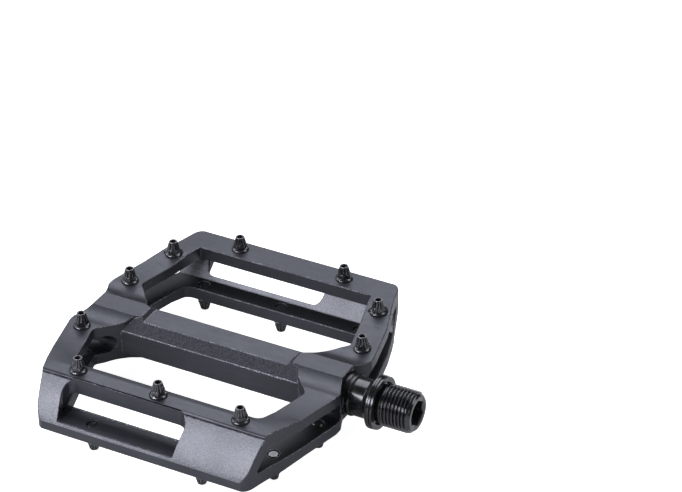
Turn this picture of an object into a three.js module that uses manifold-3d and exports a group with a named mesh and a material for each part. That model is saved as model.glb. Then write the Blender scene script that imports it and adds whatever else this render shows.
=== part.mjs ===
// Flat platform pedal for a bicycle, left open as an assembly of its real pieces.
//
// Frame, in millimetres: +X runs along the spindle towards the crank, +Z is up and the origin is
// on the spindle axis, in the plane where the crank arm bears on the pedal's washer.
// The platform is one aluminium extrusion, cut along its length and then milled. It looks the
// same after half a turn about the spindle, so the bottom is the top turned over.

import * as THREE from 'three';
import { mergeVertices } from 'three/addons/utils/BufferGeometryUtils.js';
import Module from 'manifold-3d';

const wasm = await Module();
wasm.setup();

// ---- driving dimensions -------------------------------------------------------------------

const ROUND_STEPS = 24;          // sides of a turned piece
const PIN_STEPS = 12;            // sides of a pin's round stretches

// platform extrusion, seen along the spindle
const RAIL_Z = 8.6;              // height of the rails above the axis
const ARM_Z = 7.28;              // height of the dished middle
const DISH_START = 29;           // where the arms start to rise towards the rails
const DISH_END = 38.5;           // where the rise ends
const LONG_EDGE = 53.3;          // reach of the long plate on each wing
const SHORT_EDGE = 44.3;         // reach of the short plate on each wing
const EDGE_ROUND = 0.6;          // rounding of the outer edges
const SHORT_EDGE_ROUND = 0.9;    // rounding of the short plate's edge
const LONG_BAND = 3.5;           // height of the upright band on the long plate's edge
const SHORT_BAND = 1.1;          // height of the rounded band on the short plate's edge
const WALL_SET_BACK = 0.2;       // how far the raw wall starts behind that band
const WALL_BULGE = 0.8;          // rise of the slanted wall's curve
const WALL = 3.3;                // thickness of the slanted outer wall
const PLATE = 4.72;              // thickness of a rail's plate
const ARM_PLATE = 3.95;          // thickness of an arm's plate
const CAVITY_START = 9.4;        // where the hollow of each wing starts
const CAVITY_ROUND = 3.26;       // rounding of that end
const CAVITY_CORNER = 0.8;       // rounding of its corners at the outer wall
const VALLEY_Y = 9.8;            // the dip between the housing and each arm
const VALLEY_Z = 6.97;
const VALLEY_BLEND = [6.9, 11.2];  // how sharply its sides curve in, by the housing and the arm
const ARM_START = 13;            // where the flat of the arm starts

// spindle housing
const BLOCK_Z = 8.45;            // half height of the end blocks
const BLOCK_FLAT = 3.9;          // half width of their top facet
const BLOCK_END = 28.9;          // where they end, from the middle
const BARREL_Z = 7.3;            // half height of the milled barrel between them
const BARREL_END = 27.5;         // half length of its milled top
const BARREL_Y = 8.35;           // half width of the barrel
const FACET_TOP_Y = 2.94;        // its raw facets, if not milled, meet the block's top here
const BARREL_SIDE_Z = 4.2;       // height where its upright sides start

// plan of the platform
const CENTRE_X = -60.7;          // middle of the platform along the spindle
const HOUSING_END = 47.8;        // half length of the housing
const LONG_CORNER = 4.4;         // corner rounding of the long plates
const PLAN_QUARTER = [           // outline from the housing's end to the long plate's corner
  [HOUSING_END, 4], [50.75, 10.9, 2], [50.5, 13.9, 2], [46.8, 29.6], [41.75, 44],
  [39.2, LONG_EDGE + 0.2, LONG_CORNER],
];
const GUSSET_X = 40.3;           // arm's inner edge where the gusset starts
const GUSSET_Y = 15.6;
const GUSSET_CORNER = 2.2;
const BLOCK_CORNERS = [[31, 4, 1], [33.3, 7.7, 4]];   // opening's edge from block to gusset
const LONG_WINDOW_X = 33.3;      // wing opening's corner in the long plate
const LONG_WINDOW_Y = 43.2;
const SHORT_WINDOW_Y = 36.1;     // the opening's outer edge in the short plate
const LONG_WINDOW_CORNER = 1;
const SHORT_WINDOW_CORNER = 3;
const WALL_WINDOW_OUT = -33;     // the wall opening's outboard end at the plate's edge
const WALL_WINDOW_IN = 14.7;     // its inboard end there
const WALL_WINDOW_LEAN = [2.2, 3.6];   // how far its ends lean in, outboard and inboard
const WALL_WINDOW_CORNER = 3.2;
const WALL_WINDOW_BACK = SHORT_EDGE - 0.35;        // how deep it is milled
const WALL_WINDOW_FLOOR = RAIL_Z - PLATE + 0.12;   // milled just below the hollow's own face

// bores of the housing
const SEAL_BORE = 7.3;
const CORE_BORE = 6.4;
const BEARING_BORE = 7.2;
const CAP_BORE = 7.375;
const SEAL_BORE_LENGTH = 17.5;
const BEARING_SHOULDER_X = -89.6;
const CAP_BORE_LENGTH = 5;

// traction pins
const PIN_HEIGHT = 5;
const PIN_FLANGE_R = 3;
const PIN_FLANGE_T = 0.85;
const PIN_FLANGE_EDGE_T = 0.4;   // height of the flange's upright edge, below its cone
const PIN_TAIL_R = 1.85;
const PIN_TAIL_LENGTH = 4.6;
const PIN_HOLE_R = 2;
const PIN_HOLE_DEPTH = 6.12;
const PIN_WAIST_R = 2.55;
const PIN_WAIST_TOP = 1.95;
const PIN_CROWN_R = 2.35;
const PIN_CROWN_START = 2.2;
const PIN_TIP_R = 1.5;
const PIN_SOCKET_R = 0.85;
const PIN_SOCKET_DEPTH = 1.4;
const PIN_SEAT_GAP = 0.1;
const PIN_SPOT_FACE_R = 3.3;
const SLOPE_SEAT_Z = 8;

// spindle
const THREAD_R = 7.14;           // 9/16 inch thread
const THREAD_PITCH = 1.27;       // 20 threads to the inch
const THREAD_DEPTH = 0.7;
const THREAD_END_X = 12.5;
const THREAD_START_X = 1.4;
const FLANGE_R = 9.1;
const NECK_R = 6.6;
const JOURNAL_R = 6;
const SHANK_R = 4.7;
const BEARING_SEAT_R = 3.9;
const SPINDLE_END_R = 3.4;
const SPINDLE_END_X = -104.6;
const HEX_KEY = 8;
const HEX_KEY_DEPTH = 8;
const WASHER_T = 0.8;
const GAP = 0.2;                 // running or fitting clearance between pieces

// sealed bearings, 8 x 14 x 4
const BEARING_COUNT = 2;
const BEARING_WIDTH = 4;
const BEARING_PITCH = 4.2;
const BEARING_OUTER_R = 7;
const BEARING_BORE_R = 4.05;
const RACE_T = 0.62;
const BALL_R = 0.72;
const BALL_COUNT = 9;
const SHIELD_T = 0.25;

const HOUSING_IN_X = CENTRE_X + HOUSING_END;
const HOUSING_OUT_X = CENTRE_X - HOUSING_END;

// ---- materials ----------------------------------------------------------------------------

const finish = (color, roughness, metalness) =>
  new THREE.MeshStandardMaterial({ color, roughness, metalness });

const anodised = () => finish(0x34363a, 0.55, 0.6);
const blackSteel = () => finish(0x101012, 0.22, 0.8);
const brightSteel = () => finish(0xb9bcc0, 0.3, 1);
const zincSteel = () => finish(0x9b9da3, 0.4, 0.9);
const bronze = () => finish(0x9a7a4a, 0.45, 0.9);
const rubber = () => finish(0x0d0d0e, 0.6, 0);

// ---- solid helpers ------------------------------------------------------------------------

// A closed solid for manifold, with its faces turned outwards whatever way the shape was drawn.
function solid(geometry) {
  const bare = geometry.index ? geometry.toNonIndexed() : geometry.clone();
  for (const name of Object.keys(bare.attributes)) {
    if (name !== 'position') bare.deleteAttribute(name);
  }
  const merged = mergeVertices(bare, 1e-4);
  const position = merged.attributes.position;
  const index = merged.index.array;
  const corners = [];
  for (let i = 0; i < index.length; i += 3) {
    const [a, b, c] = [index[i], index[i + 1], index[i + 2]];
    if (a !== b && b !== c && c !== a) corners.push(a, b, c);
  }
  const point = (i) => new THREE.Vector3().fromBufferAttribute(position, i);
  let volume = 0;
  for (let i = 0; i < corners.length; i += 3) {
    const cross = point(corners[i + 1]).cross(point(corners[i + 2]));
    volume += point(corners[i]).dot(cross);
  }
  if (volume < 0) corners.reverse();
  return new wasm.Manifold(new wasm.Mesh({
    numProp: 3,
    vertProperties: new Float32Array(position.array),
    triVerts: new Uint32Array(corners),
  }));
}

function geometryOf(manifold) {
  const mesh = manifold.getMesh();
  const geometry = new THREE.BufferGeometry();
  geometry.setAttribute('position', new THREE.BufferAttribute(mesh.vertProperties, 3));
  geometry.setIndex(new THREE.BufferAttribute(mesh.triVerts, 1));
  return geometry;
}

// A flat-sided outline from plain points, each given as [x, y] or as [x, y, corner radius].
function roundedOutline(points, steps = 5) {
  const outline = [];
  points.forEach(([x, y, radius = 0], i) => {
    const here = new THREE.Vector2(x, y);
    if (radius === 0) {
      outline.push(here);
      return;
    }
    const [px, py] = points[(i + points.length - 1) % points.length];
    const [nx, ny] = points[(i + 1) % points.length];
    const toPrevious = new THREE.Vector2(px - x, py - y).normalize();
    const toNext = new THREE.Vector2(nx - x, ny - y).normalize();
    const half = Math.acos(THREE.MathUtils.clamp(toPrevious.dot(toNext), -1, 1)) / 2;
    const middle = toPrevious.clone().add(toNext).normalize();
    const centre = here.clone().addScaledVector(middle, radius / Math.sin(half));
    const start = here.clone().addScaledVector(toPrevious, radius / Math.tan(half)).sub(centre);
    const end = here.clone().addScaledVector(toNext, radius / Math.tan(half)).sub(centre);
    const turn = Math.atan2(start.cross(end), start.dot(end));
    for (let k = 0; k <= steps; k += 1) {
      outline.push(start.clone().rotateAround(new THREE.Vector2(), turn * k / steps).add(centre));
    }
  });
  return new THREE.Shape(outline);
}

// Shape coordinates become y and z, and the depth runs along x.
const ALONG_X = new THREE.Matrix4().makeBasis(
  new THREE.Vector3(0, 1, 0),
  new THREE.Vector3(0, 0, 1),
  new THREE.Vector3(1, 0, 0),
);

function prismX(shape, x0, x1) {
  const geometry = new THREE.ExtrudeGeometry(shape, { depth: x1 - x0, bevelEnabled: false });
  return solid(geometry.applyMatrix4(ALONG_X).translate(x0, 0, 0));
}

// Shape coordinates become x and z, and the depth runs along y.
const ALONG_Y = new THREE.Matrix4().makeBasis(
  new THREE.Vector3(1, 0, 0),
  new THREE.Vector3(0, 0, 1),
  new THREE.Vector3(0, 1, 0),
);

function prismY(shape, y0, y1) {
  const geometry = new THREE.ExtrudeGeometry(shape, { depth: y1 - y0, bevelEnabled: false });
  return solid(geometry.applyMatrix4(ALONG_Y).translate(0, y0, 0));
}

function prismZ(shape, z0, z1) {
  const geometry = new THREE.ExtrudeGeometry(shape, { depth: z1 - z0, bevelEnabled: false });
  return solid(geometry.translate(0, 0, z0));
}

// A turned solid about the spindle axis, from [x, radius] pairs that start and end on the axis
// or close on themselves.
function turned(profile) {
  const points = profile.map(([x, radius]) => new THREE.Vector2(radius, x));
  const geometry = new THREE.LatheGeometry(points, ROUND_STEPS);
  return solid(geometry.rotateZ(-Math.PI / 2));
}

// A plain ring, as a washer, bush or bearing race is.
function ring(x0, x1, inner, outer) {
  return turned([[x0, inner], [x0, outer], [x1, outer], [x1, inner], [x0, inner]]);
}

function cylinderX(x0, x1, radius) {
  return turned([[x0, 0], [x0, radius], [x1, radius], [x1, 0]]);
}

function cylinderZ(x, y, z0, z1, radius) {
  const geometry = new THREE.CylinderGeometry(radius, radius, z1 - z0, PIN_STEPS);
  return solid(geometry.rotateX(Math.PI / 2).translate(x, y, (z0 + z1) / 2));
}

function hexPrismX(x0, x1, acrossFlats) {
  const geometry = new THREE.CylinderGeometry(
    acrossFlats / Math.sqrt(3), acrossFlats / Math.sqrt(3), x1 - x0, 6,
  );
  return solid(geometry.rotateZ(-Math.PI / 2).translate((x0 + x1) / 2, 0, 0));
}

const unite = (solids) => solids.reduce((sum, next) => sum.add(next));
const halfTurn = ([y, z, radius]) => [-y, -z, radius];

const pedal = new THREE.Group();

function addPiece(name, material, manifold) {
  const mesh = new THREE.Mesh(geometryOf(manifold), material);
  mesh.name = name;
  pedal.add(mesh);
  return mesh;
}

// ---- platform body ------------------------------------------------------------------------

// Points of a quadratic curve after its start, in steps.
function curve(start, control, end, steps) {
  const path = new THREE.QuadraticBezierCurve(
    new THREE.Vector2(...start), new THREE.Vector2(...control), new THREE.Vector2(...end),
  );
  return path.getPoints(steps).slice(1).map((p) => [p.x, p.y]);
}

// Half of the extrusion's section: top of the wing with the long plate uppermost, its slanted
// wall, and the short plate's underside. The other half is this one after half a turn.
function wingSection() {
  const valleyFloor = [VALLEY_Y, VALLEY_Z];
  const wallTop = [LONG_EDGE, RAIL_Z - LONG_BAND];
  const wallFoot = [SHORT_EDGE - WALL_SET_BACK, -RAIL_Z + SHORT_BAND + WALL_SET_BACK];
  const middle = [(wallTop[0] + wallFoot[0]) / 2, (wallTop[1] + wallFoot[1]) / 2];
  const span = new THREE.Vector2(wallTop[0] - wallFoot[0], wallTop[1] - wallFoot[1]).normalize();
  const control = [
    middle[0] + 2 * WALL_BULGE * span.y, middle[1] - 2 * WALL_BULGE * span.x,
  ];
  const valley = (side) => [
    ...curve([BLOCK_FLAT, BLOCK_Z], [VALLEY_BLEND[0], VALLEY_Z], valleyFloor, 8),
    ...curve(valleyFloor, [VALLEY_BLEND[1], VALLEY_Z], [ARM_START, ARM_Z], 3),
  ].map(([y, z]) => [y, side * z]);
  return [
    [BLOCK_FLAT, BLOCK_Z], ...valley(1),
    [DISH_START, ARM_Z], [DISH_END, RAIL_Z], [LONG_EDGE, RAIL_Z, EDGE_ROUND],
    wallTop, ...curve(wallTop, control, wallFoot, 8),
    [SHORT_EDGE, -RAIL_Z + SHORT_BAND], [SHORT_EDGE, -RAIL_Z, SHORT_EDGE_ROUND],
    [DISH_END, -RAIL_Z], [DISH_START, -ARM_Z], ...valley(-1).reverse(), [BLOCK_FLAT, -BLOCK_Z],
  ];
}

// The hollow inside one wing, with a round end by the housing and a slanted end at the wall.
function cavitySection() {
  const low = ARM_Z - ARM_PLATE;
  const high = RAIL_Z - PLATE;
  const slope = (LONG_EDGE - SHORT_EDGE) / (2 * RAIL_Z - LONG_BAND - SHORT_BAND);
  const wallMiddle = (LONG_EDGE + SHORT_EDGE) / 2 - slope * (SHORT_BAND - LONG_BAND) / 2
    - WALL * Math.hypot(1, slope);
  return [
    [CAVITY_START, -low, CAVITY_ROUND], [DISH_START, -low], [DISH_END, -high],
    [wallMiddle - slope * high, -high, CAVITY_CORNER],
    [wallMiddle + slope * high, high, CAVITY_CORNER],
    [DISH_END, high], [DISH_START, low], [CAVITY_START, low, CAVITY_ROUND],
  ];
}

// Outline seen from above.
function planShape() {
  const turnedBack = [...PLAN_QUARTER].reverse();
  const points = [
    ...PLAN_QUARTER,
    ...turnedBack.map(([x, y, r]) => [-x, y, r]),
    ...PLAN_QUARTER.map(([x, y, r]) => [-x, -y, r]),
    ...turnedBack.map(([x, y, r]) => [x, -y, r]),
  ];
  return roundedOutline(points.map(([x, y, r]) => [CENTRE_X + x, y, r]), 6);
}

// The openings through both wings, drawn as one outline out to a given edge on each wing. It
// follows the gussets in and crosses the housing between the end blocks.
function wingOpenings(farEdge, nearEdge) {
  const lean = (GUSSET_X - LONG_WINDOW_X) / (LONG_WINDOW_Y - GUSSET_Y);
  const corner = (edge) => (edge === LONG_WINDOW_Y ? LONG_WINDOW_CORNER : SHORT_WINDOW_CORNER);
  const wing = (side, edge) => [
    [BLOCK_END, side * FACET_TOP_Y], ...BLOCK_CORNERS.map(([x, y, r]) => [x, side * y, r]),
    [GUSSET_X, side * GUSSET_Y, GUSSET_CORNER],
    [LONG_WINDOW_X + (LONG_WINDOW_Y - edge) * lean, side * edge, corner(edge)],
  ];
  const right = [...wing(-1, nearEdge).reverse(), ...wing(1, farEdge)];
  const left = [...right].reverse().map(([x, y, r]) => [-x, y, r]);
  return roundedOutline([...right, ...left].map(([x, y, r]) => [CENTRE_X + x, y, r]));
}

// The housing's raw eight-sided section, left standing between the openings.
function housingSection() {
  const corner = [
    [FACET_TOP_Y, BLOCK_Z], [BARREL_Y, BARREL_SIDE_Z],
    [BARREL_Y, -BARREL_SIDE_Z], [FACET_TOP_Y, -BLOCK_Z],
  ];
  return roundedOutline([...corner, ...corner.map(halfTurn)]);
}

// What is milled off the housing's top between the end blocks, with sloping ends.
function barrelCut() {
  const slope = (BLOCK_END - BARREL_END) / (BLOCK_Z - BARREL_Z);
  const top = BLOCK_Z + 1;
  const topEnd = BLOCK_END + slope;
  return prismY(roundedOutline([
    [CENTRE_X - topEnd, top], [CENTRE_X - BARREL_END, BARREL_Z],
    [CENTRE_X + BARREL_END, BARREL_Z], [CENTRE_X + topEnd, top],
  ]), -BARREL_Y, BARREL_Y);
}

// The tool path that mills one wing's upright opening in the outer wall, its ends closing in
// outwards. On the +y wing the floor left standing is the long plate above it, on the -y wing
// the long plate below it.
function wallOpening(side) {
  const inner = side * WALL_WINDOW_BACK;
  const outer = side * (LONG_EDGE + 2);
  const path = roundedOutline([
    [CENTRE_X + WALL_WINDOW_OUT, inner, WALL_WINDOW_CORNER],
    [CENTRE_X + WALL_WINDOW_IN, inner, WALL_WINDOW_CORNER],
    [CENTRE_X + WALL_WINDOW_IN - WALL_WINDOW_LEAN[1], outer],
    [CENTRE_X + WALL_WINDOW_OUT + WALL_WINDOW_LEAN[0], outer],
  ]);
  const floorZ = side * WALL_WINDOW_FLOOR;
  const openZ = -side * (RAIL_Z + 2);
  return prismZ(path, Math.min(floorZ, openZ), Math.max(floorZ, openZ));
}

// Pins on the top: six on the wing whose long plate is on top, four on the other wing.
// Each has its place from the platform's middle and the height of its seat.
const FAR_PINS = [[44.8, 15.4, ARM_Z], [39.9, 36.15, SLOPE_SEAT_Z], [20.35, 48.45, RAIL_Z]];
const topPins = [
  ...FAR_PINS.map(([x, y, seat]) => [-x, y, seat]),
  ...[...FAR_PINS].reverse(),
  [30.4, -39.9, RAIL_Z], [0, -39.9, RAIL_Z], [-30.4, -39.9, RAIL_Z], [-44.7, -15.4, ARM_Z],
];

// A pin on the sloped stretch of an arm also gets a level spot face to seat on.
function pinCuts([x, y, seat]) {
  const hole = cylinderZ(CENTRE_X + x, y, seat - PIN_HOLE_DEPTH, seat + 2, PIN_HOLE_R);
  if (seat !== SLOPE_SEAT_Z) return hole;
  return hole.add(cylinderZ(CENTRE_X + x, y, seat, seat + 2, PIN_SPOT_FACE_R));
}

function platformBody() {
  const half = wingSection();
  const section = roundedOutline([...half, ...half.map(halfTurn)], 3);
  const length = 2 * (HOUSING_END + 5);
  const x0 = CENTRE_X - length / 2;
  const x1 = CENTRE_X + length / 2;
  let body = prismX(section, x0, x1);
  const cavity = cavitySection();
  body = body.subtract(prismX(roundedOutline(cavity, 6), x0 - 1, x1 + 1));
  body = body.subtract(prismX(roundedOutline(cavity.map(halfTurn), 6), x0 - 1, x1 + 1));
  body = body.intersect(prismZ(planShape(), -20, 20));

  const tall = RAIL_Z + 3;
  const openings = unite([
    prismZ(wingOpenings(LONG_WINDOW_Y, SHORT_WINDOW_Y), -0.5, tall),
    prismZ(wingOpenings(SHORT_WINDOW_Y, LONG_WINDOW_Y), -tall, 0.5),
  ]);
  body = body.subtract(openings.subtract(prismX(housingSection(), x0, x1)));
  body = body.subtract(barrelCut()).subtract(barrelCut().rotate([180, 0, 0]));
  body = body.subtract(wallOpening(1)).subtract(wallOpening(-1));

  const cuts = unite(topPins.map(pinCuts));
  body = body.subtract(cuts).subtract(cuts.rotate([180, 0, 0]));
  const bores = unite([
    cylinderX(x0, x1, CORE_BORE),
    cylinderX(HOUSING_IN_X - SEAL_BORE_LENGTH, x1, SEAL_BORE),
    cylinderX(x0, BEARING_SHOULDER_X, BEARING_BORE),
    cylinderX(x0, HOUSING_OUT_X + CAP_BORE_LENGTH, CAP_BORE),
  ]);
  return body.subtract(bores);
}

addPiece('platform_body', anodised(), platformBody());

// ---- traction pins ------------------------------------------------------------------------

// A screw-in pin standing on its flange: hexagonal waist, then a crown tapering to a hollow tip.
function pinSolid() {
  const upright = (points, steps) => solid(
    new THREE.LatheGeometry(points.map(([r, z]) => new THREE.Vector2(r, z)), steps)
      .rotateX(Math.PI / 2),
  );
  const flange = upright([
    [0, -PIN_TAIL_LENGTH], [PIN_TAIL_R, -PIN_TAIL_LENGTH], [PIN_TAIL_R, 0],
    [PIN_FLANGE_R, 0], [PIN_FLANGE_R, PIN_FLANGE_EDGE_T], [PIN_WAIST_R, PIN_FLANGE_T],
    [0, PIN_FLANGE_T],
  ], PIN_STEPS);
  const crown = upright([
    [0, PIN_FLANGE_EDGE_T], [PIN_WAIST_R, PIN_FLANGE_EDGE_T], [PIN_WAIST_R, PIN_WAIST_TOP],
    [PIN_CROWN_R, PIN_CROWN_START], [PIN_TIP_R, PIN_HEIGHT], [0, PIN_HEIGHT],
  ], 6);
  const socket = upright([
    [0, PIN_HEIGHT - PIN_SOCKET_DEPTH], [PIN_SOCKET_R, PIN_HEIGHT - PIN_SOCKET_DEPTH],
    [PIN_SOCKET_R, PIN_HEIGHT + 1], [0, PIN_HEIGHT + 1],
  ], 6);
  return flange.add(crown).subtract(socket);
}

const pinShape = pinSolid();

function addPin(number, [x, y, seat], upright) {
  const name = `traction_pin_${String(number).padStart(2, '0')}`;
  const pin = addPiece(name, blackSteel(), pinShape);
  pin.position.set(CENTRE_X + x, upright ? y : -y, (upright ? 1 : -1) * (seat + PIN_SEAT_GAP));
  if (!upright) pin.rotation.x = Math.PI;
}

topPins.forEach((place, i) => addPin(i + 1, place, true));
topPins.forEach((place, i) => addPin(i + 1 + topPins.length, place, false));

// ---- spindle ------------------------------------------------------------------------------

const FLANGE_X = -WASHER_T - GAP;
const SEAL_LIP_X = HOUSING_IN_X + 3.5;
const BUSH_LENGTH = 12;
const BUSH_IN_X = HOUSING_IN_X - 5;
const JOURNAL_END_X = BUSH_IN_X - BUSH_LENGTH - 1;

function threadProfile() {
  const root = THREAD_R - THREAD_DEPTH;
  const count = Math.floor((THREAD_END_X - THREAD_START_X - 1) / THREAD_PITCH);
  const points = [];
  for (let i = 0; i < count; i += 1) {
    const x = THREAD_START_X + i * THREAD_PITCH;
    points.push([x, root], [x + 0.5 * THREAD_PITCH, THREAD_R]);
  }
  return points;
}

function spindle() {
  const seatStart = BEARING_SHOULDER_X + 1.6;
  const profile = [
    [SPINDLE_END_X, 0], [SPINDLE_END_X, SPINDLE_END_R - 0.5], [SPINDLE_END_X + 0.5, SPINDLE_END_R],
    [BEARING_SHOULDER_X - 8.6, SPINDLE_END_R], [BEARING_SHOULDER_X - 8.6, BEARING_SEAT_R],
    [seatStart, BEARING_SEAT_R], [seatStart, SHANK_R], [-50, SHANK_R],
    [JOURNAL_END_X - 4, JOURNAL_R - 0.6], [JOURNAL_END_X, JOURNAL_R],
    [BUSH_IN_X, JOURNAL_R], [BUSH_IN_X + 0.6, NECK_R],
    [-4.6, NECK_R], [-3.8, NECK_R + 0.25], [-3.1, NECK_R + 0.9], [-2.6, FLANGE_R - 0.9],
    [-2.3, FLANGE_R - 0.2], [-2.1, FLANGE_R], [FLANGE_X - 0.2, FLANGE_R],
    [FLANGE_X, FLANGE_R - 0.2], [FLANGE_X, THREAD_R - THREAD_DEPTH - 0.2],
    [THREAD_START_X - 0.3, THREAD_R - THREAD_DEPTH - 0.2],
    ...threadProfile(),
    [THREAD_END_X - 1.4, THREAD_R - THREAD_DEPTH], [THREAD_END_X - 1.2, THREAD_R - 0.05],
    [THREAD_END_X - 0.9, THREAD_R - 0.1],
    [THREAD_END_X, THREAD_R - 1.1], [THREAD_END_X, 0],
  ];
  const hexKey = hexPrismX(THREAD_END_X - HEX_KEY_DEPTH, THREAD_END_X + 1, HEX_KEY);
  const countersink = turned([
    [THREAD_END_X - 0.5, 0], [THREAD_END_X - 0.5, HEX_KEY / 2],
    [THREAD_END_X + 0.5, HEX_KEY / 2 + 1], [THREAD_END_X + 0.5, 0],
  ]);
  return turned(profile).subtract(hexKey).subtract(countersink);
}

addPiece('spindle', blackSteel(), spindle());
addPiece('crank_washer', blackSteel(),
  ring(-WASHER_T, 0, THREAD_R + GAP, FLANGE_R - 0.1));

// ---- inboard seal and plain bush ----------------------------------------------------------

// A rubber seal pressed into the housing, with two lips that wipe the spindle's neck.
function dustSeal() {
  const inner = NECK_R + 0.12;
  const outer = SEAL_BORE - 0.15;
  return turned([
    [BUSH_IN_X + 1.2, inner], [BUSH_IN_X + 1.2, outer], [HOUSING_IN_X + 1.2, outer],
    [HOUSING_IN_X + 1.8, outer - 0.12], [HOUSING_IN_X + 2.1, outer - 0.3],
    [HOUSING_IN_X + 2.4, outer - 0.12], [HOUSING_IN_X + 3.1, outer - 0.12],
    [SEAL_LIP_X, outer - 0.3], [SEAL_LIP_X, inner],
    [BUSH_IN_X + 1.2, inner],
  ]);
}

addPiece('dust_seal', rubber(), dustSeal());
addPiece('inboard_bush', bronze(),
  ring(BUSH_IN_X - BUSH_LENGTH, BUSH_IN_X - GAP, JOURNAL_R + 0.15, SEAL_BORE - 0.15));

// ---- outboard sealed bearings -------------------------------------------------------------

// One ball set: the balls and the cage ring that spaces them, as one piece.
function ballSet(x0) {
  const pitchR = (BEARING_OUTER_R + BEARING_BORE_R) / 2;
  const middle = x0 + BEARING_WIDTH / 2;
  const pieces = [ring(middle - 0.3, middle + 0.3, pitchR - 0.35, pitchR + 0.35)];
  for (let i = 0; i < BALL_COUNT; i += 1) {
    const angle = 2 * Math.PI * i / BALL_COUNT;
    const ball = new THREE.SphereGeometry(BALL_R, 6, 4);
    ball.translate(middle, pitchR * Math.cos(angle), pitchR * Math.sin(angle));
    pieces.push(solid(ball));
  }
  return unite(pieces);
}

function addBearing(number) {
  const x0 = BEARING_SHOULDER_X - GAP - BEARING_WIDTH - (number - 1) * BEARING_PITCH;
  const x1 = x0 + BEARING_WIDTH;
  const outerIn = BEARING_OUTER_R - RACE_T;
  const innerOut = BEARING_BORE_R + RACE_T;
  addPiece(`bearing_outer_race_${number}`, brightSteel(), ring(x0, x1, outerIn, BEARING_OUTER_R));
  addPiece(`bearing_inner_race_${number}`, brightSteel(), ring(x0, x1, BEARING_BORE_R, innerOut));
  addPiece(`bearing_ball_cage_${number}`, brightSteel(), ballSet(x0));
  const shieldAt = (from) =>
    ring(from, from + SHIELD_T, innerOut + 0.15, outerIn - 0.15);
  addPiece(`bearing_seal_inner_${number}`, rubber(), shieldAt(x1 - 0.1 - SHIELD_T));
  addPiece(`bearing_seal_outer_${number}`, rubber(), shieldAt(x0 + 0.1));
  return x0;
}

let stackX = 0;
for (let number = 1; number <= BEARING_COUNT; number += 1) stackX = addBearing(number);

// ---- nut, washer, cap and its ring --------------------------------------------------------

const NUT_T = 4;
const NUT_ACROSS = 10;
const LOCK_WASHER_T = 0.9;
const lockWasherX = stackX - GAP - LOCK_WASHER_T;
const nutX = lockWasherX - GAP - NUT_T;
const NUT_BORE_R = SPINDLE_END_R + 0.15;

addPiece('lock_washer', zincSteel(),
  ring(lockWasherX, lockWasherX + LOCK_WASHER_T, NUT_BORE_R, 5.3));
addPiece('lock_nut', zincSteel(),
  hexPrismX(nutX, nutX + NUT_T, NUT_ACROSS)
    .intersect(turned([
      [nutX, 0], [nutX, NUT_ACROSS / 2], [nutX + 0.5, NUT_ACROSS / 2 + 0.8],
      [nutX + NUT_T - 0.5, NUT_ACROSS / 2 + 0.8], [nutX + NUT_T, NUT_ACROSS / 2],
      [nutX + NUT_T, 0],
    ]))
    .subtract(cylinderX(nutX - 1, nutX + NUT_T + 1, NUT_BORE_R)));

// A ring-shaped cap screwed into the housing's end: two wrench flats, a centre hole, and a
// skirt that reaches past the nut to hold the bearings' outer races.
function endCap() {
  const faceX = HOUSING_OUT_X + 0.3;
  const neckX = faceX + 3;
  const skirtX = stackX - GAP;
  const outer = 6.95;
  const skirtR = BEARING_BORE - 0.2;
  const shell = turned([
    [faceX, 0], [faceX, outer - 0.25], [faceX + 0.25, outer], [neckX, outer],
    [neckX, skirtR], [skirtX, skirtR], [skirtX, 0],
  ]);
  const flats = [-1, 1].map((side) => prismX(roundedOutline([
    [side * 5.45, -8], [side * 5.45, 8], [side * 9, 8], [side * 9, -8],
  ]), faceX - 1, neckX - 0.6));
  const hollow = cylinderX(neckX - 0.8, skirtX + 1, skirtR - 0.95);
  const centreHole = cylinderX(faceX - 1, neckX + 1, 3.8);
  return shell.subtract(unite([...flats, hollow, centreHole]));
}

addPiece('end_cap', zincSteel(), endCap());

export default pedal;
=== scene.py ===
"""A flat bicycle pedal: milled aluminium platform, screw-in traction pins and a glossy steel spindle.

Lengths are in millimetres and turned into metres by MM, but the camera, lights and floor are
placed in metres and degrees. The frame is the part's own: +X along the spindle towards the crank,
+Z up, the origin where the crank arm bears.
"""
import math

import bmesh
import bpy
from mathutils import Matrix, Vector


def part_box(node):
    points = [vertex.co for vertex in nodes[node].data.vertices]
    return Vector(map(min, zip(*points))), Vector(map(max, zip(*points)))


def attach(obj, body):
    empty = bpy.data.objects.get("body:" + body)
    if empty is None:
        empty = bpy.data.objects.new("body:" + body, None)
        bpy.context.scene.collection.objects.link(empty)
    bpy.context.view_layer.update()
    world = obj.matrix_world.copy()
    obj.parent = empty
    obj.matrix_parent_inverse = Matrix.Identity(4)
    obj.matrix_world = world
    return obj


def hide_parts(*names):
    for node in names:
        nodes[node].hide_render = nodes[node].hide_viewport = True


MM = 0.001

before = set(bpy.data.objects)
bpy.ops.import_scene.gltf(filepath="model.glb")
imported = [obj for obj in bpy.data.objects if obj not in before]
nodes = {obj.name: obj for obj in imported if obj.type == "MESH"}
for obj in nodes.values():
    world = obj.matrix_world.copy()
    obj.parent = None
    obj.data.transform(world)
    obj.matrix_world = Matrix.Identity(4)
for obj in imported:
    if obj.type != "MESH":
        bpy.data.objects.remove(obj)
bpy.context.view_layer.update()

# ---- sizes read from the frame ------------------------------------------------------------

platform_low, platform_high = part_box("platform_body")
CENTRE_X = (platform_low.x + platform_high.x) / 2 / MM
HOUSING_HALF = 47.8          # half length of the spindle housing
HOUSING_IN_X = CENTRE_X + HOUSING_HALF
PIN_NODES = sorted(n for n in nodes if n.startswith("traction_pin_"))

# ---- camera, lights and floor -------------------------------------------------------------

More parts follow.
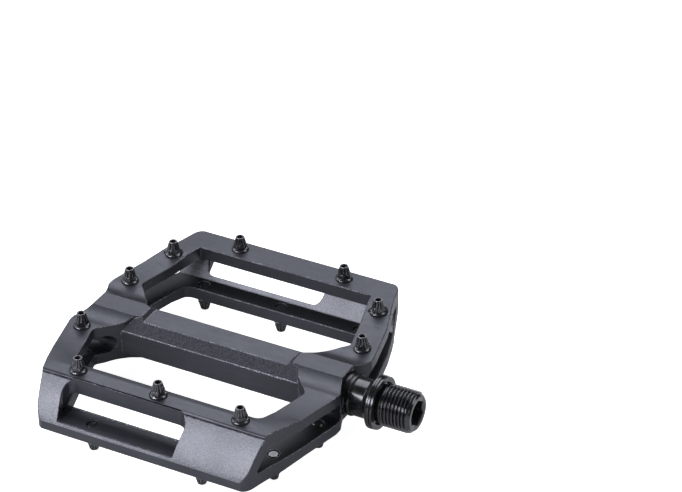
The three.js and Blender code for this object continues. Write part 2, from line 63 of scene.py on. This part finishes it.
CAMERA_AZIMUTH = 28.6
CAMERA_ELEVATION = 32.2
CAMERA_ROLL = -0.7
CAMERA_DISTANCE = 1.0586
CAMERA_LENS = 159
CAMERA_AIM = Vector((-0.0576, 0.0781, 0))
LIGHT_COLOR = (0.955, 0.975, 1.05)
SKY_COLOR = (0.92, 0.95, 1)
SKY_LIGHT = 0.03             # faint light from all round, which the camera sees as white
FLOOR_Z = -0.0138            # just under the lower pins
FLOOR_SIZE = 8
FLOOR_COLOR = (0.86, 0.86, 0.86)
FLOOR_GLOW = 0.1             # what the floor adds to the light it scatters
FLOOR_GLOW_SEEN = 0.96       # the same, as the camera sees it


def direction(azimuth, elevation):
    """Unit vector from the object towards a viewer or light at these angles, in degrees."""
    a, e = math.radians(azimuth), math.radians(elevation)
    return Vector((math.sin(a) * math.cos(e), -math.cos(a) * math.cos(e), math.sin(e)))


def add_camera():
    back = direction(CAMERA_AZIMUTH, CAMERA_ELEVATION)
    data = bpy.data.cameras.new("camera")
    data.lens = CAMERA_LENS
    data.sensor_width = 36
    data.clip_start = 0.05
    data.clip_end = 50
    camera = bpy.data.objects.new("camera", data)
    camera.location = CAMERA_AIM + back * CAMERA_DISTANCE
    turn = (-back).to_track_quat("-Z", "Y").to_matrix()
    roll = Matrix.Rotation(math.radians(CAMERA_ROLL), 3, "Z")
    camera.rotation_euler = (turn @ roll).to_euler()
    bpy.context.scene.collection.objects.link(camera)
    bpy.context.scene.camera = camera


def add_area_light(name, azimuth, elevation, width, height, power):
    """A soft box one metre from the pedal; width and height are the angles it fills, in degrees."""
    data = bpy.data.lights.new(name, "AREA")
    data.shape = "RECTANGLE"
    data.size = 2 * math.tan(math.radians(width / 2))
    data.size_y = 2 * math.tan(math.radians(height / 2))
    data.energy = power
    data.color = LIGHT_COLOR
    light = bpy.data.objects.new(name, data)
    away = direction(azimuth, elevation)
    light.location = Vector((CENTRE_X * MM, 0, 0)) + away
    light.rotation_euler = away.to_track_quat("Z", "Y").to_euler()
    bpy.context.scene.collection.objects.link(light)


def add_lights():
    """A box left of the camera, a higher one behind the pedal, and a small one to each side."""
    add_area_light("front_box", -22, 29, 38, 20, 7.2)
    add_area_light("back_box", 209, 51, 46, 40, 6.6)
    add_area_light("left_box", -82, 30, 36, 24, 2.2)
    add_area_light("right_box", 112, 42, 26, 28, 2.2)


def add_world():
    world = bpy.data.worlds.new("studio")
    bpy.context.scene.world = world
    world.use_nodes = True
    tree = world.node_tree
    tree.nodes.clear()
    out = tree.nodes.new("ShaderNodeOutputWorld")
    seen = tree.nodes.new("ShaderNodeBackground")
    seen.inputs["Color"].default_value = (1, 1, 1, 1)
    seen.inputs["Strength"].default_value = 1.0
    lit = tree.nodes.new("ShaderNodeBackground")
    lit.inputs["Color"].default_value = (*SKY_COLOR, 1)
    lit.inputs["Strength"].default_value = SKY_LIGHT
    path = tree.nodes.new("ShaderNodeLightPath")
    mix = tree.nodes.new("ShaderNodeMixShader")
    tree.links.new(path.outputs["Is Camera Ray"], mix.inputs["Fac"])
    tree.links.new(lit.outputs[0], mix.inputs[1])
    tree.links.new(seen.outputs[0], mix.inputs[2])
    tree.links.new(mix.outputs[0], out.inputs["Surface"])


def add_floor():
    """A pale floor that the camera sees lit from within, so the pedal's shadow on it stays faint."""
    bm = bmesh.new()
    bmesh.ops.create_grid(bm, x_segments=1, y_segments=1, size=FLOOR_SIZE)
    bmesh.ops.translate(bm, vec=(0, 0, FLOOR_Z), verts=bm.verts)
    data = bpy.data.meshes.new("floor")
    bm.to_mesh(data)
    floor = bpy.data.objects.new("floor", data)
    bpy.context.scene.collection.objects.link(floor)
    material = bpy.data.materials.new("pale_floor")
    material.use_nodes = True
    tree = material.node_tree
    tree.nodes.clear()
    out = tree.nodes.new("ShaderNodeOutputMaterial")
    matt = tree.nodes.new("ShaderNodeBsdfDiffuse")
    matt.inputs["Color"].default_value = (*FLOOR_COLOR, 1)
    path = tree.nodes.new("ShaderNodeLightPath")
    mix = tree.nodes.new("ShaderNodeMixShader")
    tree.links.new(path.outputs["Is Camera Ray"], mix.inputs["Fac"])
    for socket, strength in zip(mix.inputs[1:], (FLOOR_GLOW, FLOOR_GLOW_SEEN)):
        glow = tree.nodes.new("ShaderNodeEmission")
        glow.inputs["Strength"].default_value = strength
        add = tree.nodes.new("ShaderNodeAddShader")
        tree.links.new(matt.outputs[0], add.inputs[0])
        tree.links.new(glow.outputs[0], add.inputs[1])
        tree.links.new(add.outputs[0], socket)
    tree.links.new(mix.outputs[0], out.inputs["Surface"])
    data.materials.append(material)


# ---- materials ----------------------------------------------------------------------------


class Finish:
    """A procedural material on a Principled shader, built up in steps."""

    def __init__(self, name, color, metallic, roughness):
        self.material = bpy.data.materials.new(name)
        self.material.use_nodes = True
        self.tree = self.material.node_tree
        self.shader = self.tree.nodes["Principled BSDF"]
        self.shader.inputs["Base Color"].default_value = (*color, 1)
        self.shader.inputs["Metallic"].default_value = metallic
        self.shader.inputs["Roughness"].default_value = roughness
        self.color = color
        self.place = self.tree.nodes.new("ShaderNodeTexCoord").outputs["Object"]

    def node(self, kind, **values):
        made = self.tree.nodes.new(kind)
        for key, value in values.items():
            if key in made.inputs.keys():
                made.inputs[key].default_value = value
            else:
                setattr(made, key, value)
        return made

    def link(self, source, target):
        self.tree.links.new(source, target)

    def noise(self, scale, detail=3, stretch=(1, 1, 1)):
        """Noise in the object's own space; scale is in grains per millimetre."""
        mapping = self.node("ShaderNodeMapping")
        mapping.inputs["Scale"].default_value = [scale * s / MM for s in stretch]
        self.link(self.place, mapping.inputs["Vector"])
        noise = self.node("ShaderNodeTexNoise", Scale=1.0, Detail=detail, Roughness=0.6)
        self.link(mapping.outputs[0], noise.inputs["Vector"])
        return noise.outputs["Fac"]

    def spread(self, value, low, high, start=0.3, end=0.7):
        """A value between start and end spread over low to high."""
        spread = self.node("ShaderNodeMapRange")
        spread.inputs["From Min"].default_value = start
        spread.inputs["From Max"].default_value = end
        spread.inputs["To Min"].default_value = low
        spread.inputs["To Max"].default_value = high
        self.link(value, spread.inputs["Value"])
        return spread.outputs["Result"]

    def math(self, operation, a, b):
        made = self.node("ShaderNodeMath", operation=operation)
        for socket, value in zip(made.inputs, (a, b)):
            if isinstance(value, (int, float)):
                socket.default_value = value
            else:
                self.link(value, socket)
        return made.outputs[0]

    def shade(self, factor, color=None):
        """Base colour times a varying factor, or mixed towards another colour by it."""
        base = self.shader.inputs["Base Color"]
        mix = self.node("ShaderNodeMix", data_type="RGBA")
        mix.blend_type = "MULTIPLY" if color is None else "MIX"
        if base.is_linked:
            self.link(base.links[0].from_socket, mix.inputs["A"])
        else:
            mix.inputs["A"].default_value = (*self.color, 1)
        if color is None:
            mix.inputs["Factor"].default_value = 1
            grey = self.node("ShaderNodeCombineColor")
            for channel in ("Red", "Green", "Blue"):
                self.link(factor, grey.inputs[channel])
            self.link(grey.outputs[0], mix.inputs["B"])
        else:
            self.link(factor, mix.inputs["Factor"])
            mix.inputs["B"].default_value = (*color, 1)
        self.link(mix.outputs["Result"], base)

    def vary_roughness(self, value, low, high):
        self.link(self.spread(value, low, high), self.shader.inputs["Roughness"])

    def bump(self, value, height, strength=1.0):
        """Surface relief from a value, height in millimetres. Reliefs add up."""
        bump = self.node("ShaderNodeBump")
        bump.inputs["Distance"].default_value = height * MM
        bump.inputs["Strength"].default_value = strength
        self.link(value, bump.inputs["Height"])
        normal = self.shader.inputs["Normal"]
        if normal.is_linked:
            self.link(normal.links[0].from_socket, bump.inputs["Normal"])
        self.link(bump.outputs[0], normal)

    def painted_hollow_shade(self, darkest):
        """Inside corners and grooves shaded down: painted shade where the mesh is concave."""
        edge = self.node("ShaderNodeNewGeometry").outputs["Pointiness"]
        self.shade(self.spread(edge, darkest, 1, 0.44, 0.5))

    def worn_and_highlit_edges(self, color, amount):
        """Edges rubbed towards another colour, patchily: partly wear, partly a painted highlight on
        the ridges.
        """
        edge = self.node("ShaderNodeNewGeometry").outputs["Pointiness"]
        rubbed = self.spread(edge, 0, amount, 0.52, 0.6)
        patchy = self.math("MULTIPLY", rubbed, self.spread(self.noise(0.35), 0.35, 1))
        self.shade(patchy, color)


def machined_anodising():
    f = Finish("machined_anodising", (0.055, 0.057, 0.068), 0.55, 0.38)
    streaks = f.noise(1.4, 2, (0.05, 1, 1))
    f.shade(f.spread(streaks, 0.93, 1.06))
    f.shade(f.spread(f.noise(0.05, 2), 0.9, 1.08))
    f.vary_roughness(f.noise(0.6, 3), 0.32, 0.42)
    f.bump(f.noise(6, 2), 0.012, 0.5)
    f.bump(streaks, 0.01, 0.35)
    return f.material


def rubbed_and_highlit_edge():
    """The anodising along the platform's edges, rubbed through in specks, which also serve as a
    painted highlight along every edge.
    """
    f = Finish("rubbed_and_highlit_edge", (0.06, 0.062, 0.073), 0.6, 0.42)
    specks = f.spread(f.noise(2.2, 4), 0, 1, 0.5, 0.62)
    patches = f.spread(f.noise(0.12, 2), 0.2, 1, 0.4, 0.6)
    f.shade(f.math("MULTIPLY", specks, patches), (0.3, 0.31, 0.33))
    f.vary_roughness(f.noise(1.1), 0.34, 0.5)
    f.bump(f.noise(3.2, 4), 0.03, 0.6)
    return f.material


def blasted_anodising():
    f = Finish("blasted_anodising", (0.205, 0.208, 0.228), 0.5, 0.5)
    grain = f.noise(2.7, 4)
    f.shade(f.spread(grain, 0.48, 1.6, 0.32, 0.68))
    f.shade(f.spread(f.noise(0.09, 2), 0.88, 1.1))
    f.vary_roughness(grain, 0.4, 0.6)
    f.bump(grain, 0.06, 0.8)
    return f.material


def raw_anodising(name, color):
    """The extrusion's own grainy surface."""
    f = Finish(name, color, 0.5, 0.5)
    grain = f.noise(2.9, 4)
    f.shade(f.spread(grain, 0.35, 1.9, 0.36, 0.66))
    f.vary_roughness(grain, 0.42, 0.62)
    f.bump(grain, 0.06, 0.8)
    return f.material


def black_steel(name, color, roughness, wear_and_highlight):
    f = Finish(name, color, 0.75, roughness)
    f.vary_roughness(f.noise(0.5, 3), roughness - 0.04, roughness + 0.06)
    f.shade(f.spread(f.noise(0.4, 3), 0.85, 1.2))
    f.bump(f.noise(1.2, 2), 0.002, 0.4)
    # painted shade in the grooves and inside corners
    f.painted_hollow_shade(0.35)
    # lighter edges: partly wear, partly painted highlight
    f.worn_and_highlit_edges((0.45, 0.45, 0.47), wear_and_highlight)
    f.shader.inputs["Coat Weight"].default_value = 0.35
    f.shader.inputs["Coat Roughness"].default_value = 0.12
    return f.material


def zinc_steel():
    f = Finish("zinc_steel", (0.5, 0.5, 0.52), 0.9, 0.42)
    turning = f.noise(5, 2, (0.02, 1, 1))
    f.vary_roughness(f.noise(1.1), 0.36, 0.5)
    f.shade(f.spread(f.noise(0.5), 0.88, 1.08))
    f.bump(turning, 0.008, 0.5)
    return f.material


def bearing_steel():
    f = Finish("bearing_steel", (0.6, 0.61, 0.63), 1, 0.2)
    f.vary_roughness(f.noise(1.5), 0.14, 0.28)
    f.shade(f.spread(f.noise(0.6), 0.92, 1.05))
    return f.material


def bush_bronze():
    f = Finish("bush_bronze", (0.4, 0.27, 0.13), 0.9, 0.38)
    f.vary_roughness(f.noise(1.2), 0.3, 0.5)
    f.shade(f.spread(f.noise(0.7), 0.8, 1.1))
    return f.material


def seal_rubber():
    f = Finish("seal_rubber", (0.012, 0.012, 0.013), 0, 0.3)
    f.vary_roughness(f.noise(0.9), 0.22, 0.36)
    f.shade(f.spread(f.noise(0.5), 0.75, 1.3))
    f.bump(f.noise(3), 0.01, 0.6)
    return f.material


MACHINED = machined_anodising()
BLASTED = blasted_anodising()
FACET = raw_anodising("raw_facet", (0.044, 0.046, 0.054))
# the hollows' flat faces: the extrusion's grain, darkened as painted shade
HOLLOW_SHADE = raw_anodising("raw_hollow_shade", (0.017, 0.018, 0.021))
# edges: rubbed specks that also paint a highlight along each edge
EDGE = rubbed_and_highlit_edge()
PIN_STEEL = black_steel("pin_steel", (0.07, 0.07, 0.075), 0.25, 0.55)
SPINDLE_STEEL = black_steel("spindle_steel", (0.045, 0.045, 0.048), 0.22, 0.2)
ZINC_STEEL = zinc_steel()
BEARING_STEEL = bearing_steel()
BRONZE = bush_bronze()
RUBBER = seal_rubber()

# ---- mesh helpers -------------------------------------------------------------------------

TURN_SIDES = 96              # sides of a piece turned about the spindle axis
CORNER_STEPS = 4             # steps round a profile's rounded corner
SHARP_ANGLE = 30             # edges that turn more than this are sharp, in degrees


def add_piece(name, bm, material, body, replaced, sharp_angle=SHARP_ANGLE):
    """A finished piece from a bmesh in metres, riding on its body in place of its CAD node."""
    bmesh.ops.recalc_face_normals(bm, faces=bm.faces)
    data = bpy.data.meshes.new(name)
    bm.to_mesh(data)
    bm.free()
    for one in material if isinstance(material, list) else [material]:
        data.materials.append(one)
    data.shade_smooth()
    data.set_sharp_from_angle(angle=math.radians(sharp_angle))
    piece = bpy.data.objects.new(name, data)
    bpy.context.scene.collection.objects.link(piece)
    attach(piece, body)
    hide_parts(replaced)
    return piece


def bevel(piece, width, segments=2, angle=SHARP_ANGLE):
    """Rounds a piece's sharp edges and keeps its flats flat."""
    rounding = piece.modifiers.new("rounding", "BEVEL")
    rounding.width = width * MM
    rounding.segments = segments
    rounding.limit_method = "ANGLE"
    rounding.angle_limit = math.radians(angle)
    rounding.use_clamp_overlap = False
    rounding.miter_outer = "MITER_ARC"
    rounding.harden_normals = True
    return rounding


def settle_inside(piece, low, high):
    """Applies a piece's modifiers and keeps every corner inside a box."""
    graph = bpy.context.evaluated_depsgraph_get()
    made = bpy.data.meshes.new_from_object(piece.evaluated_get(graph))
    piece.modifiers.clear()
    for vertex in made.vertices:
        for axis in range(3):
            vertex.co[axis] = min(high[axis], max(low[axis], vertex.co[axis]))
    piece.data = made


def ring_grid(rings):
    """A bmesh skin over rings of points (lists of Vector, all of one length), ends capped."""
    bm = bmesh.new()
    rows = [[bm.verts.new(p) for p in ring] for ring in rings]
    count = len(rows[0])
    for low, high in zip(rows, rows[1:]):
        for i in range(count):
            j = (i + 1) % count
            bm.faces.new((low[i], low[j], high[j], high[i]))
    bm.faces.new(rows[0])
    bm.faces.new(rows[-1])
    return bm


def turned_ring(x, radius_at):
    """Points round the spindle axis at x, where the radius is a function of the angle."""
    ring = []
    for i in range(TURN_SIDES):
        angle = 2 * math.pi * i / TURN_SIDES
        radius = radius_at(angle)
        ring.append(Vector((x, radius * math.cos(angle), radius * math.sin(angle))) * MM)
    return ring


def turned_bmesh(profile, closed=False):
    """A solid turned about the spindle axis from (x, radius) points in millimetres.

    A closed profile makes a ring; an open one makes a solid with flat ends.
    """
    bm = ring_grid([turned_ring(x, lambda angle: radius) for x, radius in profile])
    if closed:
        caps = [f for f in bm.faces if len(f.verts) == TURN_SIDES]
        bmesh.ops.delete(bm, geom=caps, context="FACES_ONLY")
        bmesh.ops.bridge_loops(bm, edges=[e for e in bm.edges if e.is_boundary])
    return bm


def rounded(points):
    """Profile points with corners rounded where a point has a third value, its radius."""
    out = []
    for i, point in enumerate(points):
        here = Vector(point[:2])
        radius = point[2] if len(point) > 2 else 0
        if not radius:
            out.append(tuple(here))
            continue
        before = (Vector(points[i - 1][:2]) - here).normalized()
        after = (Vector(points[(i + 1) % len(points)][:2]) - here).normalized()
        reach = radius / math.tan(before.angle(after) / 2)
        start, end = here + before * reach, here + after * reach
        for k in range(CORNER_STEPS + 1):
            t = k / CORNER_STEPS
            out.append(tuple(start.lerp(here, t).lerp(here.lerp(end, t), t)))
    return out


def cut(piece, cutter_bm, sharp_angle=SHARP_ANGLE):
    """Cuts a solid out of a piece and applies the cut."""
    bmesh.ops.recalc_face_normals(cutter_bm, faces=cutter_bm.faces)
    data = bpy.data.meshes.new("cutter")
    cutter_bm.to_mesh(data)
    cutter_bm.free()
    cutter = bpy.data.objects.new("cutter", data)
    bpy.context.scene.collection.objects.link(cutter)
    boolean = piece.modifiers.new("cut", "BOOLEAN")
    boolean.operation = "DIFFERENCE"
    boolean.solver = "EXACT"
    boolean.object = cutter
    graph = bpy.context.evaluated_depsgraph_get()
    made = bpy.data.meshes.new_from_object(piece.evaluated_get(graph))
    piece.modifiers.remove(boolean)
    bpy.data.objects.remove(cutter)
    piece.data = made
    made.shade_smooth()
    made.set_sharp_from_angle(angle=math.radians(sharp_angle))


def prism_x(outline, x0, x1):
    """A prism along X from (y, z) points in millimetres."""
    return ring_grid([[Vector((x, y, z)) * MM for y, z in outline] for x in (x0, x1)])


# ---- platform -----------------------------------------------------------------------------

MERGE_DISTANCE = 0.004       # corners closer than this are one
FLAT_ANGLE = 1               # faces that turn less than this are one
EDGE_WIDTH = 0.3             # how far a rubbed edge with its painted highlight reaches in from its corner
WALL_START_Y = 43            # the slanted walls lie further out than this
WALL_TOP_Z = 7.9             # and lower than this
INNER_WALL_Y = (38, 50)      # where the hollows' slanted ends lie
HOLLOW_Z = 3.95              # half height of the hollows
HOUSING_Y = 8.5              # half width of the housing's facets
FACET_Z = (4, 8.4)           # heights the facets span
WALL_FACES_OUT = 0.3         # the least a slanted wall's normal points along Y
FACET_FACES_OUT = 0.4        # the least a facet's normal points along Y
LEANS = (0.1, 0.95)          # how much a slanted wall's normal points along Z
SOFT_ANGLE = 34              # milled roundings turn less than this between two faces
MILLED, SLANTED, FACETS, SHADED_HOLLOWS, EDGES = range(5)   # the platform's finishes, in their order


def platform_finish(centre, normal):
    """Which finish a face of the platform has, from where it lies and how it faces."""
    y, z = abs(centre.y) / MM, abs(centre.z) / MM
    outward = normal.y * math.copysign(1, centre.y)
    slanted = abs(normal.x) < 0.2 and LEANS[0] < abs(normal.z) < LEANS[1]
    if slanted and y > WALL_START_Y and outward > WALL_FACES_OUT and z < WALL_TOP_Z:
        return SLANTED
    inner_wall = INNER_WALL_Y[0] < y < INNER_WALL_Y[1] and z < HOLLOW_Z
    if slanted and inner_wall and outward < -WALL_FACES_OUT:
        return SLANTED
    facet = y < HOUSING_Y and FACET_Z[0] < z < FACET_Z[1]
    if slanted and facet and outward > FACET_FACES_OUT:
        return FACETS
    # flat faces inside the hollows take the darker finish, a painted shade
    return SHADED_HOLLOWS if z < HOLLOW_Z and abs(normal.z) > 0.8 else MILLED


def add_platform():
    bm = bmesh.new()
    bm.from_mesh(nodes["platform_body"].data)
    bmesh.ops.remove_doubles(bm, verts=bm.verts, dist=MERGE_DISTANCE * MM)
    bmesh.ops.dissolve_limit(
        bm, angle_limit=math.radians(FLAT_ANGLE), verts=bm.verts, edges=bm.edges
    )
    for face in bm.faces:
        face.normal_update()
        face.material_index = platform_finish(face.calc_center_median(), face.normal)
    platform = add_piece(
        "platform_shell", bm, [MACHINED, BLASTED, FACET, HOLLOW_SHADE, EDGE], "platform",
        "platform_body", SOFT_ANGLE,
    )
    # the bevel's faces take the edge finish: rubbed specks and painted highlight
    bevel(platform, EDGE_WIDTH, 3, SOFT_ANGLE).material = EDGES
    platform.modifiers.new("even_flats", "WEIGHTED_NORMAL").keep_sharp = True
    settle_inside(platform, platform_low, platform_high)


# ---- traction pins ------------------------------------------------------------------------

PIN_HEIGHT = 5
PIN_TIP = 4.97               # its rounded tip, just inside that height
PIN_FLUTES = 12
PIN_SIDES = 72
PIN_SOCKET = 1.0             # hexagon socket's radius at its corners
PIN_SOCKET_DEPTH = 1.7
PIN_TAIL_END = -4.3
PIN_THREAD_PITCH = 0.7
PIN_TURN = 17                # how much further each pin is screwed round than the last


def hexagon(angle, roundness):
    """Radius of a hexagon with unit corners at an angle, blended towards a circle."""
    sector = (angle + math.pi / 6) % (math.pi / 3) - math.pi / 6
    flat = math.cos(math.pi / 6) / math.cos(math.pi / 6 - abs(sector))
    return flat * (1 - roundness) + roundness


def pin_rings():
    """(height, radius, roundness, flute depth) of each ring, from the tail's end to the socket."""
    rings = [(PIN_TAIL_END, 0.6, 1, 0), (PIN_TAIL_END, 1.5, 1, 0)]
    z = PIN_TAIL_END + 0.2
    while z < -0.5:
        rings += [(z, 1.8, 1, 0), (z + 0.12, 1.82, 1, 0)]
        rings += [(z + 0.42, 1.58, 1, 0), (z + 0.5, 1.58, 1, 0)]
        z += PIN_THREAD_PITCH
    rings += [(-0.15, 1.62, 1, 0), (0, 1.8, 1, 0), (0.0, 2.78, 1, 0), (0.05, 2.93, 1, 0)]
    rings += [(0.14, 3, 1, 0), (0.34, 3, 1, 0), (0.42, 2.95, 1, 0), (0.78, 2.62, 1, 0)]
    rings += [(0.86, 2.52, 0.7, 0), (0.9, 2.48, 0.1, 0), (1.0, 2.47, 0, 0)]
    rings += [(1.85, 2.43, 0, 0), (1.98, 2.38, 0.1, 0), (2.04, 2.24, 0.4, 0)]
    rings += [(2.08, 2.14, 0.8, 0.02), (2.3, 2.18, 0.9, 0.28), (3.3, 1.93, 0.9, 0.36)]
    rings += [(4.3, 1.66, 0.9, 0.28), (4.62, 1.57, 0.9, 0.05), (4.8, 1.5, 1, 0)]
    rings += [(4.93, 1.42, 1, 0), (PIN_TIP, 1.3, 0.8, 0), (4.94, 1.16, 0.5, 0)]
    floor = PIN_TIP - PIN_SOCKET_DEPTH
    rings += [(4.8, PIN_SOCKET, 0, 0), (floor, PIN_SOCKET, 0, 0), (floor - 0.3, 0.3, 1, 0)]
    return rings


def pin_mesh():
    rings = []
    for z, radius, roundness, flute in pin_rings():
        ring = []
        for i in range(PIN_SIDES):
            angle = 2 * math.pi * i / PIN_SIDES
            r = radius * hexagon(angle, roundness)
            r -= flute * (0.5 - 0.5 * math.cos(PIN_FLUTES * angle))
            ring.append(Vector((r * math.cos(angle), r * math.sin(angle), z)) * MM)
        rings.append(ring)
    return ring_grid(rings)


def add_pins():
    for number, node in enumerate(PIN_NODES):
        low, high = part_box(node)
        upright = high.z > -low.z
        bm = pin_mesh()
        turn = math.radians(PIN_TURN * number)
        bmesh.ops.rotate(bm, verts=bm.verts, matrix=Matrix.Rotation(turn, 3, "Z"))
        seat = high.z - PIN_HEIGHT * MM
        if not upright:
            seat = low.z + PIN_HEIGHT * MM
            bmesh.ops.rotate(bm, verts=bm.verts, matrix=Matrix.Rotation(math.pi, 3, "X"))
        where = Vector(((low.x + high.x) / 2, (low.y + high.y) / 2, seat))
        bmesh.ops.translate(bm, vec=where, verts=bm.verts)
        add_piece(node.replace("traction", "steel"), bm, PIN_STEEL, "platform",
                  node, 25)


# ---- spindle ------------------------------------------------------------------------------

THREAD_R = 7.14
THREAD_PITCH = 1.27
THREAD_DEPTH = 0.72
THREAD_START_X = 0.9
THREAD_END_X = 12.5
THREAD_STEPS = 14            # rings for each turn of the thread
THREAD_FLAT = 0.14           # part of the pitch that is flat at the crest, and at the root
THREAD_SOFTNESS = 0.35
THREAD_RUN_OUT = 0.9         # length over which the thread rises to its full depth
END_BEVEL = 1.3
END_BEVEL_SLOPE = 0.95       # radius lost for each millimetre of the bevel
END_FACE_R = 5.6
FLANGE_R = 9.1
GROOVE_DEPTH = 0.14          # of the fine groove round the flange
NECK_R = 6.6
HEX_KEY = 8
HEX_KEY_DEPTH = 8
SPINDLE_SHARP_ANGLE = 40     # the thread's flanks stay smooth


def thread_radius(x, angle):
    """Radius of the helical thread at a place along the spindle and an angle round it."""
    phase = ((x / THREAD_PITCH) - angle / (2 * math.pi)) % 1
    ridge = 1 - abs(2 * phase - 1)
    ridge = min(1, max(0, (ridge - THREAD_FLAT) / (1 - 2 * THREAD_FLAT)))
    soft = ridge * ridge * (3 - 2 * ridge)
    ridge += (soft - ridge) * THREAD_SOFTNESS
    run_out = min(1, max(0, (x - THREAD_START_X) / THREAD_RUN_OUT))
    root = THREAD_R - THREAD_DEPTH
    bevelled = THREAD_R - max(0, x - (THREAD_END_X - END_BEVEL)) * END_BEVEL_SLOPE
    return min(root + THREAD_DEPTH * ridge * run_out, bevelled)


def spindle_profile():
    """(x, radius) points from the outboard end to the thread."""
    return rounded([
        (-104.6, 0.4), (-104.6, 3.4, 0.4), (-98.2, 3.4), (-98.2, 3.9, 0.1), (-88.0, 3.9),
        (-88.0, 4.7, 0.2), (-50, 4.7), (-34.9, 5.4), (-30.9, 6, 0.3), (-17.9, 6),
        (-17.3, NECK_R, 0.2), (-4.6, NECK_R, 1.0), (-2.75, 8.2, 0.4), (-2.45, FLANGE_R, 0.12),
        (-1.9, FLANGE_R), (-1.8, FLANGE_R - GROOVE_DEPTH), (-1.7, FLANGE_R), (-1.05, FLANGE_R, 0.1),
        (-1.0, 6.3, 0.05), (0.75, 6.22, 0.1),
    ])


def add_spindle():
    rings = [turned_ring(x, lambda angle: radius) for x, radius in spindle_profile()]
    steps = int((THREAD_END_X - THREAD_START_X) / THREAD_PITCH * THREAD_STEPS)
    for i in range(steps + 1):
        x = THREAD_START_X + (THREAD_END_X - THREAD_START_X) * i / steps
        rings.append(turned_ring(x, lambda angle: thread_radius(x, angle)))
    rings.append(turned_ring(THREAD_END_X, lambda angle: END_FACE_R))
    spindle = add_piece(
        "steel_spindle", ring_grid(rings), SPINDLE_STEEL, "spindle_unit",
        "spindle", SPINDLE_SHARP_ANGLE,
    )
    corners = [
        (HEX_KEY / math.sqrt(3) * math.sin(math.radians(60 * k)),
         HEX_KEY / math.sqrt(3) * math.cos(math.radians(60 * k))) for k in range(6)
    ]
    cut(spindle, prism_x(corners, THREAD_END_X - HEX_KEY_DEPTH, THREAD_END_X + 1))
    countersink = turned_bmesh([
        (THREAD_END_X - 0.75, 3.9), (THREAD_END_X + 0.25, 5.1), (THREAD_END_X + 1, 5.1),
    ])
    cut(spindle, countersink, SPINDLE_SHARP_ANGLE)


def add_washer():
    add_piece(
        "steel_crank_washer",
        turned_bmesh(rounded([
            (-0.8, 7.34, 0.1), (-0.8, 9.0, 0.1), (0, 9.0, 0.1), (0, 7.34, 0.1),
        ]), closed=True),
        SPINDLE_STEEL, "spindle_unit", "crank_washer", SPINDLE_SHARP_ANGLE,
    )


# ---- seal and end cap ---------------------------------------------------------------------

CAP_R = 6.95
CAP_SKIRT_R = 7
CAP_SKIRT_BORE = 6.05
CAP_HOLE_R = 3.8
CAP_HEAD = 3                 # length of the head, to the skirt
CAP_FACE_T = 2.2             # thickness of the face round the centre hole
CAP_FLAT = 5.45              # how far the wrench flats lie from the axis
CAP_FLAT_LENGTH = 2.4
CAP_CUT = (9, 8)             # how far each flat's cutter reaches along Y and Z, past the cap
CAP_EDGE = 0.12


def add_seal():
    inner = NECK_R + 0.1
    x = HOUSING_IN_X
    profile = rounded([
        (x - 3.8, inner), (x - 3.8, 7.12, 0.2), (x + 0.9, 7.12, 0.5), (x + 1.5, 7.0, 0.3),
        (x + 1.85, 6.82, 0.15), (x + 2.2, 7.0, 0.2), (x + 3.0, 7.02, 0.35),
        (x + 3.5, 6.8, 0.1), (x + 3.5, inner),
    ])
    add_piece("rubber_dust_seal", turned_bmesh(profile, closed=True), RUBBER, "platform",
              "dust_seal", 50)


def add_end_cap():
    low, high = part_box("end_cap")
    x0, x1 = low.x / MM, high.x / MM
    back = x0 + CAP_FACE_T
    cap = add_piece(
        "zinc_end_cap",
        turned_bmesh(rounded([
            (x0 + 0.25, CAP_HOLE_R, 0.1), (x0, CAP_HOLE_R + 0.3, 0.1), (x0, CAP_R, 0.25),
            (x0 + CAP_HEAD, CAP_R), (x0 + CAP_HEAD, CAP_SKIRT_R), (x1, CAP_SKIRT_R, 0.1),
            (x1, CAP_SKIRT_BORE), (back, CAP_SKIRT_BORE, 0.3), (back, CAP_HOLE_R),
        ]), closed=True),
        ZINC_STEEL, "platform", "end_cap", 30,
    )
    for side in (-1, 1):
        near, far, top = side * CAP_FLAT, side * CAP_CUT[0], CAP_CUT[1]
        flat = [(near, -top), (near, top), (far, top), (far, -top)]
        cut(cap, prism_x(flat, x0 - 1, x0 + CAP_FLAT_LENGTH))
    bevel(cap, CAP_EDGE)


def finish_inner_nodes():
    """The hidden pieces keep their CAD shapes and get their finishes."""
    finishes = {
        "bearing_outer_race": BEARING_STEEL, "bearing_inner_race": BEARING_STEEL,
        "bearing_ball_cage": BEARING_STEEL, "bearing_seal": RUBBER, "lock_": ZINC_STEEL,
        "inboard_bush": BRONZE,
    }
    for name, node in nodes.items():
        for start, material in finishes.items():
            if name.startswith(start):
                node.data.materials.clear()
                node.data.materials.append(material)


# ---- make everything ----------------------------------------------------------------------

add_camera()
add_lights()
add_world()
add_floor()
add_platform()
add_pins()
add_spindle()
add_washer()
add_seal()
add_end_cap()
finish_inner_nodes()

bpy.context.scene.view_settings.view_transform = "Standard"
